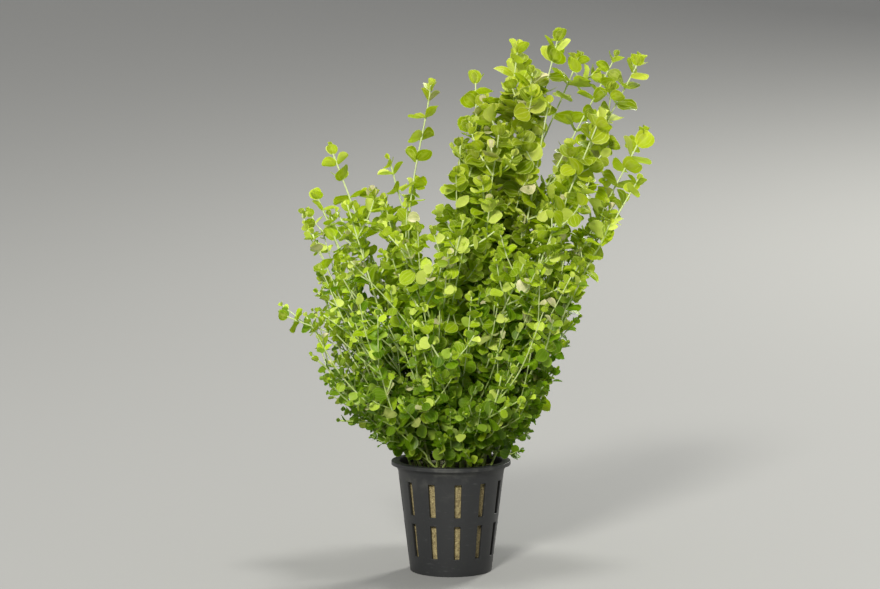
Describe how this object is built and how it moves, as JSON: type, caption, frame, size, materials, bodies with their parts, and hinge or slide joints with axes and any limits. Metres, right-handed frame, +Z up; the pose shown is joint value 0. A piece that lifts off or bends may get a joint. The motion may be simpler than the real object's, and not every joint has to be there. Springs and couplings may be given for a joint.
{
  "type": "potted aquarium plant",
  "caption": "Bushy stem plant with small round leaves in opposite pairs on thin upright shoots, planted in mineral wool in a slotted net pot.",
  "frame": {"origin": "middle of the flat underside of the pot", "axes": "+Z up along the pot's axis, -Y towards the front of the plant as pictured, +X to the side that the crown leans to"},
  "size_m": [0.1784, 0.1219, 0.247],
  "materials": {
    "pot_plastic": "moulded, faintly glossy black",
    "mineral_wool": "fibrous, damp, yellow-brown",
    "leafage": "satin leaf surface, bright yellow-green, with pale green stems"
  },
  "bodies": {
    "root": {"net_pot": "pot_plastic", "shoot_back_1": "leafage", "shoot_back_2": "leafage", "shoot_back_3": "leafage", "shoot_back_4": "leafage", "shoot_back_5": "leafage", "shoot_crown_1": "leafage", "shoot_crown_2": "leafage", "shoot_crown_3": "leafage", "shoot_crown_4": "leafage", "shoot_crown_5": "leafage", "shoot_crown_6": "leafage", "shoot_crown_7": "leafage", "shoot_crown_8": "leafage", "shoot_flank_1": "leafage", "shoot_flank_2": "leafage", "shoot_flank_3": "leafage", "shoot_flank_4": "leafage", "shoot_front_1": "leafage", "shoot_front_2": "leafage", "shoot_front_3": "leafage", "shoot_front_4": "leafage", "shoot_front_5": "leafage", "shoot_front_6": "leafage", "shoot_left_1": "leafage", "shoot_left_2": "leafage", "shoot_left_3": "leafage", "shoot_left_4": "leafage", "shoot_left_5": "leafage", "shoot_left_6": "leafage", "shoot_left_7": "leafage", "shoot_left_8": "leafage", "shoot_right_1": "leafage", "shoot_right_2": "leafage", "shoot_right_3": "leafage", "shoot_right_4": "leafage", "shoot_right_5": "leafage", "shoot_right_6": "leafage", "shoot_trailing_1": "leafage", "shoot_trailing_2": "leafage", "shoot_trailing_3": "leafage", "shoot_trailing_4": "leafage", "wool_plug": "mineral_wool"}
  },
  "joints": []
}
